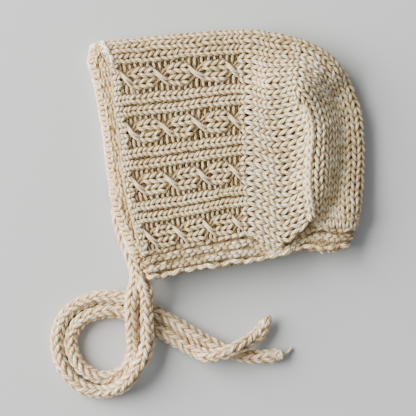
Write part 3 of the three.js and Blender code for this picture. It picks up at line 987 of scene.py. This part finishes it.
def cable_stitches(x, width, row, side):
    """The cable's two columns in one row: plain, crossed, or floating behind a crossing."""
    half = width / 2
    phase = (row - FIRST_CROSSING) % CROSSING_EVERY
    if phase > LONG_ROWS or row < FIRST_CROSSING:
        return [painted_light(stitch(left, half, row), CABLE_STITCH_PAINTED_SHADE) for left in (x, x + half)]
    if phase > 0:
        return [bar(FLOAT, x, width, row)]
    fold_side, neck_side = x + 0.3 * half, x + 1.7 * half
    front, behind = CROSSING_HEIGHTS[side]
    return [
        painted_light(long_stitch(x, fold_side, neck_side, half, row, front), FRONT_PAINTED_SHADE),
        painted_light(long_stitch(x + half, neck_side, fold_side, half, row, behind), BEHIND_PAINTED_LIGHT),
    ]


def cabled_row(row, side):
    """One row of one side, from the fold outwards; side is -1 near and +1 far."""
    run, x = [], 0.0
    if not PLAIN_ROWS[side] <= row < LAST_LADDER:
        for width in PLAIN_WIDTHS:
            run.append(painted_light(stitch(x, width, row), 0.0))
            x += width
        return np.vstack(run)
    for kind, width in SIDE_COLUMNS:
        if kind == PLAIN:
            at_fold = x < 3 * FOLD_COLUMN - 1
            run.append(painted_light(stitch(x, width, row), FOLD_STITCH_PAINTED_SHADE if at_fold else PLAIN_STITCH_PAINTED_SHADE))
        elif kind == CABLE:
            run += cable_stitches(x, width, row, side)
        else:
            run.append(bar(kind, x, width, row))
        x += width
    return np.vstack(run)


print("points in a side's row, plain and cabled:", len(cabled_row(0, -1)), len(cabled_row(6, -1)))

# %% [markdown]
# ## Drawn in at the crossings
# A crossing pinches its band, which swells again before the next one. Moving each stitch by hand
# would tear neighbours apart, so the pinch is a smooth push of everything near it, and the bars fan
# out towards the crossing. Behind the ladders and the crossings a second layer of loose bars, which
# stands for loose fuzz, closes most of the view through them: where the void would show black, it
# shows the warm painted shade of its depth.

# %% The pinch, and the loose yarn behind
BANDS, CROSSINGS = 4, 4  # cabled bands on a side, crossings on a band
BAND_HALF, BAND_PITCH, CABLE_HALF = 8.4, 28.6, 6.0  # mm
PINCH, SWELL, PULL = 0.46, 0.03, 0.42  # shares of the way
CROSSING_MIDDLE = 1.5  # courses above its first row
PINCH_COURSES, PULL_COURSES, PULL_WIDTH = 1.7, 2.4, 5.0  # how far they reach; the width in mm


def drawn_in(points):
    moved = points.copy()
    x, y = points[:, 0], points[:, 1]
    for band in range(BANDS):
        off = x - (3 * FOLD_COLUMN + BAND_HALF + band * BAND_PITCH)
        beside = np.abs(off) < BAND_HALF
        fading = np.sign(off) * CABLE_HALF * (BAND_HALF - np.abs(off)) / (BAND_HALF - CABLE_HALF)
        room = np.where(np.abs(off) < CABLE_HALF, off, fading)
        for crossing in range(CROSSINGS):
            above = y - (FIRST_CROSSING + CROSSING_MIDDLE + crossing * CROSSING_EVERY)
            near = np.exp(-((above / PINCH_COURSES) ** 2))
            pull = np.exp(-((off / PULL_WIDTH) ** 2) - (above / PULL_COURSES) ** 2)
            moved[:, 0] -= np.where(beside, (PINCH * near - SWELL * (1 - near)) * room, 0)
            moved[:, 1] -= PULL * above * pull
    return moved


def front_shares(points, side):
    return on_cloth(0.5 + side * 0.5 * points[:, 0] / SIDE_WIDTH, points, CROWN_COURSES)


# Loose bars behind open columns and crossings: they stand for fuzz and show painted shade in holes.
def ladder_fuzz_and_shade(row, side):
    runs, x = [], 0.0
    for kind, width in SIDE_COLUMNS:
        crossing = kind == CABLE and (row - FIRST_CROSSING) % CROSSING_EVERY <= LONG_ROWS + 1
        if kind in (LADDER, GAP_BAR) or crossing:
            run = drawn_in(bar(FUZZ_AND_SHADE, x - 1.0, width + 2.0, row + 0.5))
            runs.append(front_shares(uneven(run, 13, 5.0), side))
        x += width
    return runs


def cabled_strands(rows, side):
    runs = [uneven(drawn_in(cabled_row(row, side)), 11 + side, 5.0) for row in rows]
    return [front_shares(run, side) for run in runs]


print("crossings on a side:", BANDS * CROSSINGS)

# %% Knit the cabled front
for side, label in ((-1, "near"), (1, "far")):
    strands = cabled_strands(range(1, CABLED_COURSES), side)
    for row in range(PLAIN_ROWS[side], LAST_LADDER):
        strands += ladder_fuzz_and_shade(row, side)
    name = f"cabled_front_{label}"
    piece = knit_up(name, strands, front_cloth, yarn_radius=0.97, yarn=knit_cotton)
    finish_piece(piece, "cabled_front")

# %% [markdown]
# ## The cast-on edge
# The face edge starts the bonnet. On the near rim each cast-on stitch leaves a plump bump, with a
# smaller one between, both painted a little darker. The far rim is seen from inside: a row of bumps
# in the light, painted pale as a highlight, slanting bars where the cast-on yarn passes behind the
# stitches, and then the purl bumps of the first rows in warm painted shade, with small painted
# highlights between them on tiny arcs of yarn. At the top corner three loops stay loose. Two
# strands wound about each other could make the rim alone, but arcs make the inside face as well.

# %% Arcs and bars of the cast-on edge
ARC = np.linspace(0, math.pi, 9)  # half a turn, for short bumps of yarn
EDGE_STITCH = SIDE_WIDTH / SIDE_WALES
INSIDE_LINES = (1.5, 2.2, 2.9, 3.6)  # courses
LOOSE_LOOPS = ((0.6, 0.9, 1.15), (1.5, 1.0, 1.15), (2.3, 0.8, 1.05))  # place, width, thickness


def edge_arc(x, width, along, bow, out, reach, side, stout, light):
    """A plump arc of yarn along the edge, its ends tucked in.

    Its width is in stitches, along and bow are in courses, and out and reach are mm outwards.
    Its light is painted light: above 0 paler, below 0 darker.
    """
    across = x - 0.5 * width * EDGE_STITCH * np.cos(ARC)
    along, out = along + bow * np.sin(ARC), out + reach * np.sin(ARC)
    arc = painted_light(np.stack([across, along, out, np.full(len(ARC), stout)], 1), light)
    return front_shares(uneven(arc, 5, 2.8, (0.6, 0.18, 0.25)), side)


def inside_bar(x):
    """A slanting bar on the inside of the edge, where the cast-on yarn passes behind a stitch."""
    share = np.linspace(0, 1, 7)
    out = -0.2 - 2.4 * np.sin(math.pi * share)
    line = np.column_stack([x + 1.5 * share, -0.4 + 2.7 * share, out, np.full(7, 1.0), np.zeros(7)])
    return front_shares(uneven(line, 6, 2.8, (0.3, 0.1, 0.2)), 1)


print("a cast-on stitch is", round(EDGE_STITCH, 2), "mm wide")

# %% Knit the face edge
edge = []
for k in range(SIDE_WALES):
    x, between = (k + 0.5) * EDGE_STITCH, 0.5 * EDGE_STITCH
    # The near rim's bumps are painted a little darker.
    edge.append(edge_arc(x, 0.9, 0.05, -0.3, -0.8, 1.9, side=-1, stout=0.92, light=-0.16))
    edge.append(edge_arc(x + between, 0.7, 0.35, -0.5, -0.8, 1.5, side=-1, stout=0.85, light=-0.2))
    for half in (0, 0.5):
        place = x + half * EDGE_STITCH
        # The far rim's bumps are painted pale, a painted highlight.
        edge.append(edge_arc(place, 1.1, 0.0, -0.45, -0.4, 0.9, side=1, stout=1.2, light=0.8))
        edge.append(inside_bar(place))
        # Purl bumps inside the far rim, in the painted shade of their depth.
        for line in INSIDE_LINES:
            course = line + 0.35 * half
            edge.append(
                edge_arc(place, 0.5, course, -0.25, -1.8, -1.3, side=1, stout=0.92, light=-0.02)
            )
    # Tiny arcs painted as points of highlight between the purl bumps.
    edge.append(edge_arc(x, 0.36, 1.0, 0.2, -1.9, -2.6, side=1, stout=0.5, light=1.0))
for x, width, stout in LOOSE_LOOPS:
    edge.append(
        edge_arc(x * EDGE_STITCH, width, 0.75, 0.55, 0.2, 1.6, side=-1, stout=stout, light=-0.02)
    )
edge += cabled_strands([0], -1) + cabled_strands([0], 1)
face_edge = knit_up("face_edge_cast_on", edge, front_cloth, yarn_radius=1.15, yarn=knit_cotton)
finish_piece(face_edge, "face_edge")

# %% [markdown]
# ## Plain knitting: the crown
# Behind the cables every stitch is plain, in columns of even Vs, with painted shade along the fold,
# which curves away from the light. A row is one strand, as on the front. The columns run straight
# back, so the crown's slanting lower edge cuts the lowest ones off, and the yarn picked up under
# that edge lies in its shadow, painted in the tan shade of the bonnet's inside. The real ones are
# decreased into the seam one by one, but the seam's own chain hides those ends.

# %% Plain rows, and the crown's lower edge
SEAM_SHARE = 0.635  # of the crown's last row, from the neck up to where the seam begins
FOLD_SHADE = -0.08  # painted shade on the columns along the fold, which curves away from the light
FOLD_WALES, FOLD_FADE = 5.5, 2.5
CUT_FROM, CUT_OVER = 27, 6  # courses over which the lower edge comes to slant
CUT_SPREAD = 0.2
HEM_DEPTHS = (-2.2, -4.0, -5.6)  # mm, yarn under the lower edge, seen only in its shadow
CORNER_ROWS = ((32.7, -0.9), (33.4, -1.2))  # courses and mm, under the start of the seam


def plain_row(row, wales, shares_of, seed, cut=None, **how):
    run = np.vstack([stitch(k, 1.0, row, **how) for k in range(-wales, wales)])
    run = uneven(run, seed, 1.0, (0.06, 0.08, 0.16))
    if cut:
        run = cut(run)
    fold_share = np.clip((FOLD_WALES - np.abs(run[:, 0])) / FOLD_FADE, 0, 1)
    return painted_light(shares_of(run), FOLD_SHADE * fold_share)


def cut_off(run):
    """Spreads the lowest columns as the edge slants, and drops what passes below it."""
    later = np.clip((run[:, 1] - CUT_FROM) / CUT_OVER, 0, 1)
    beyond = np.maximum(np.abs(run[:, 0]) - (1 - SEAM_SHARE) * SIDE_WALES, 0)
    moved = run.copy()
    moved[:, 0] += np.sign(run[:, 0]) * beyond * CUT_SPREAD * later
    return moved[np.abs(moved[:, 0]) < SIDE_WALES + 0.1]


def crown_shares(run):
    """The crown goes on from the front's columns, which even out over its first rows."""
    edges = np.concatenate([[0], np.cumsum(PLAIN_WIDTHS)]) / SIDE_WIDTH
    evened = run[:, 0] / SIDE_WALES
    kept = np.sign(run[:, 0]) * np.interp(np.abs(run[:, 0]), np.arange(SIDE_WALES + 1), edges)
    later = np.clip((run[:, 1] - CABLED_COURSES) / 4, 0, 1)
    return on_cloth(0.5 + 0.5 * (kept * (1 - later) + evened * later), run, CROWN_COURSES)


def hem(across, along, depth, stout):
    """A strand along the crown's hidden lower edge."""
    return np.stack(np.broadcast_arrays(across, along, depth, stout), 1).astype(float)


print("rows of the crown:", CROWN_COURSES - CABLED_COURSES)

# %% Knit the crown
rows = range(CABLED_COURSES, CROWN_COURSES)
crown_rows = [plain_row(row, SIDE_WALES, crown_shares, 21, cut_off) for row in rows]
for side in (-1, 1):
    for depth in HEM_DEPTHS:
        courses = np.linspace(CABLED_COURSES + 2, CROWN_COURSES + 1, 40)
        run = hem(side * (SIDE_WALES - 0.12), courses, depth, 1.15)
        crown_rows.append(crown_shares(uneven(run, 23, 1.0, (0.05, 0.1, 0.2))))
    for row, depth in CORNER_ROWS:
        crown_rows.append(crown_shares(hem(side * np.linspace(5.2, 9.6, 24), row, depth, 1.2)))
crown = knit_up("crown", crown_rows, front_cloth, yarn_radius=1.03, yarn=knit_cotton)
finish_piece(crown, "crown")

# %% [markdown]
# ## The back of the head
# The crown's middle columns run on over the fold and down the back of the head, fanning round the
# corner where the seams begin. Rows that fan would stretch the outer stitches, so here each column
# is a chain of its own stitches at one even pitch.

# %% Knit the back panel
BACK_WALES = 7
BACK_PITCH = 3.95  # mm of a column to a stitch
MIDDLE_SHADE = 0.4 * FOLD_SHADE  # painted shade of the four columns along the fold
OPEN_TURN = np.linspace(0.15, 2 * math.pi - 0.15, 17)


def back_column(wale):
    """One column of the back panel, as separate loops."""
    middle = (wale + 0.5) / BACK_WALES
    place = int(round((0.5 + 0.5 * middle) * 2 * BACK_FACETS))
    gone = walked(np.array([row[place] for row in back_rows]))
    count = int(round(gone[-1] / BACK_PITCH))
    light = MIDDLE_SHADE if -2 <= wale <= 1 else 0
    across = wale + OPEN_TURN / (2 * math.pi) + 0.25 * np.sin(2 * OPEN_TURN)
    out, thick = -1.15 * np.cos(2 * OPEN_TURN), 0.88 - 0.16 * np.cos(2 * OPEN_TURN)
    loops = []
    for k in range(count + 1):
        along = (k + 0.5 - 0.94 * np.cos(OPEN_TURN)) * gone[-1] / count
        share = np.interp(along, gone, RIM_SHARES) + (along - along.clip(0, gone[-1])) / gone[-1]
        loop = np.column_stack([across, share * BACK_COURSES, out, thick])
        loops.append(painted_light(uneven(loop, 22, 1.0, (0.06, 0.08, 0.2)), light))
    return loops


def back_shares(run):
    return on_cloth(0.5 + 0.5 * run[:, 0] / BACK_WALES, run, BACK_COURSES, 0.001)


back_loops = [
    back_shares(loop) for wale in range(-BACK_WALES, BACK_WALES) for loop in back_column(wale)
]
back = knit_up("back_of_head", back_loops, back_cloth, yarn_radius=0.97, yarn=knit_cotton)
finish_piece(back, "back_panel")

# %% [markdown]
# ## Seam chains
# Where the side stitches meet the back panel they are decreased into it, which leaves a thick,
# raised chain of Vs along each seam. A chain is single stitches lying along the seam, each drawn as
# its own open loop whose ends are tucked under the next.

# %% Chain along each seam
CHAIN_LOOPS = 15
CHAIN_WIDTH = 1.25  # courses
CHAIN_HEIGHTS = {-1: 1.0, 1: 0.0}  # mm; the far side's chain is pressed flat on the floor
CHAIN_TURN = np.linspace(0.12, 2 * math.pi - 0.12, 17)


def seam_loop(k, side):
    sway = CHAIN_TURN / (2 * math.pi) - 0.5 + 0.27 * np.sin(2 * CHAIN_TURN)
    course = CROWN_COURSES + 0.1 + CHAIN_WIDTH * sway
    up_seam = 1 / CHAIN_LOOPS * (k + 0.5 - 0.95 * np.cos(CHAIN_TURN))
    across = 0.5 + side * 0.5 * (1 - SEAM_SHARE + SEAM_SHARE * up_seam)
    out = CHAIN_HEIGHTS[side] - np.cos(2 * CHAIN_TURN)
    loop = np.stack([across, course, out, np.ones(len(CHAIN_TURN))], 1)
    # The chain is painted a little darker.
    return painted_light(on_cloth(across, loop, CROWN_COURSES), -0.12)


for side, label in ((-1, "near"), (1, "far")):
    loops = [seam_loop(k, side) for k in range(CHAIN_LOOPS)]
    name = f"seam_chain_{label}"
    seam_chain = knit_up(name, loops, front_cloth, yarn_radius=0.97, yarn=knit_cotton)
    finish_piece(seam_chain, None)

# %% [markdown]
# ## Garter band at the neck
# The neck is finished with a band of garter stitch, which shows no Vs: each ridge is two lines of
# small bumps, upper and lower, set half a stitch apart like bricks. Whole rows of loops could be
# knitted here too, but only their bumps would show, so the bumps are made on their own, over one
# plain layer that fills the gaps. Along the lower edge each bound-off stitch leaves a larger lump.
# The far side's bumps are lower, since they are pressed flat on the floor.

# %% Knit the neck band
BAND_WALES = 17
BUMP_LINES = 5
PRESSED, EDGE_PRESSED = 0.7, 1.2  # mm that the far side's bumps lie lower
# painted shade on the garter bumps
BAND_PAINTED_SHADE = -0.08


def bump(x, y, width, bow, out, stout):
    """One short arc of yarn that comes up out of the cloth, bows up or down, and dips back in."""
    across, along = x - 0.5 * width * np.cos(ARC), y + bow * np.sin(ARC)
    out = out - 2.0 + 2.6 * np.sin(ARC)
    return np.stack([across, along, out, np.full(len(ARC), stout)], 1)


def band_shares(run):
    return on_cloth(0.5 + 0.5 * run[:, 0] / BAND_WALES, run, BAND_COURSES, 0.001)


bumps = []
for line in range(BUMP_LINES):
    bow = 0.6 if line % 2 else -0.6
    for k in range(-2 * BAND_WALES, 2 * BAND_WALES):
        x = (k + 0.5 + 0.5 * (line % 2)) / 2
        pressed = PRESSED if k >= 0 else 0
        bumps.append(bump(x, 1.3 * line - 0.75 - 0.5 * bow, 0.46, bow, 0.3 - pressed, 1.1))
for k in range(-BAND_WALES, BAND_WALES):  # the bound-off edge
    pressed = EDGE_PRESSED if k >= 0 else 0
    bumps.append(bump(k + 0.3, BAND_COURSES - 0.3, 0.85, 0.45, 0.8 - pressed, 1.2))
    bumps.append(bump(k + 0.75, BAND_COURSES + 0.3, 0.6, -0.4, 0.3 - 0.6 * pressed, 1.1))
bumps = [uneven(run, 31, 0.5, (0.07, 0.24, 0.45)) for run in bumps]
band = [
    plain_row(
        row, BAND_WALES, band_shares, 32, purl=-1.0, depth=0.7, reach=1.0, sway=0.15, lift=-0.9
    )
    for row in range(-1, BAND_COURSES)
]
band += [band_shares(painted_light(run, BAND_PAINTED_SHADE)) for run in bumps]
neck_band = knit_up("neck_band_garter", band, band_cloth, yarn_radius=1.06, yarn=garter_cotton)
finish_piece(neck_band, "neck_band")

# %% [markdown]
# ## Floor and light
# The bonnet lies on a plain pale board with matt paint. Soft daylight comes from the upper left, as
# from a big window, so the shadows fall to the right and below with soft edges. A large area light
# gives that, with a dim pale sky to fill the shadows.

# %% Floor, window light and sky
FLOOR_HALF = 4
WINDOW_PLACE, WINDOW_AIM = (-1.5, 0.5, 0.8), (0, -0.02, 0)

for cloth in (front_cloth, back_cloth, band_cloth):
    bpy.data.objects.remove(cloth)

floor_mesh = bpy.data.meshes.new("floor")
sides = ((-1, -1), (1, -1), (1, 1), (-1, 1))
floor_corners = [(x * FLOOR_HALF, y * FLOOR_HALF, 0) for x, y in sides]
floor_mesh.from_pydata(floor_corners, [], [(0, 1, 2, 3)])
floor = bpy.data.objects.new("floor", floor_mesh)
scene.collection.objects.link(floor)
# Matt paint spreads the light evenly, so the board stays quiet and only the shadow shows on it.
paint = bpy.data.materials.new("pale matt paint")
paint.use_nodes = True
shader = paint.node_tree.nodes["Principled BSDF"]
shader.inputs["Base Color"].default_value = linear("#B9BCBB")
shader.inputs["Roughness"].default_value = 0.75
floor.data.materials.append(paint)

window = bpy.data.lights.new("window", "AREA")
window.shape, window.size, window.size_y = "RECTANGLE", 2.0, 1.8
window.energy = 165
window.color = linear("#FFFDFA")[:3]
window_object = bpy.data.objects.new("window", window)
window_object.location = WINDOW_PLACE
direction = Vector(WINDOW_AIM) - Vector(WINDOW_PLACE)
window_object.rotation_euler = direction.to_track_quat("-Z", "Y").to_euler()
scene.collection.objects.link(window_object)

sky = bpy.data.worlds.new("pale sky")
sky.use_nodes = True
background = sky.node_tree.nodes["Background"]
background.inputs["Color"].default_value = linear("#E9EBEE")
background.inputs["Strength"].default_value = 0.5
scene.world = sky
print("window light, watts:", window.energy)
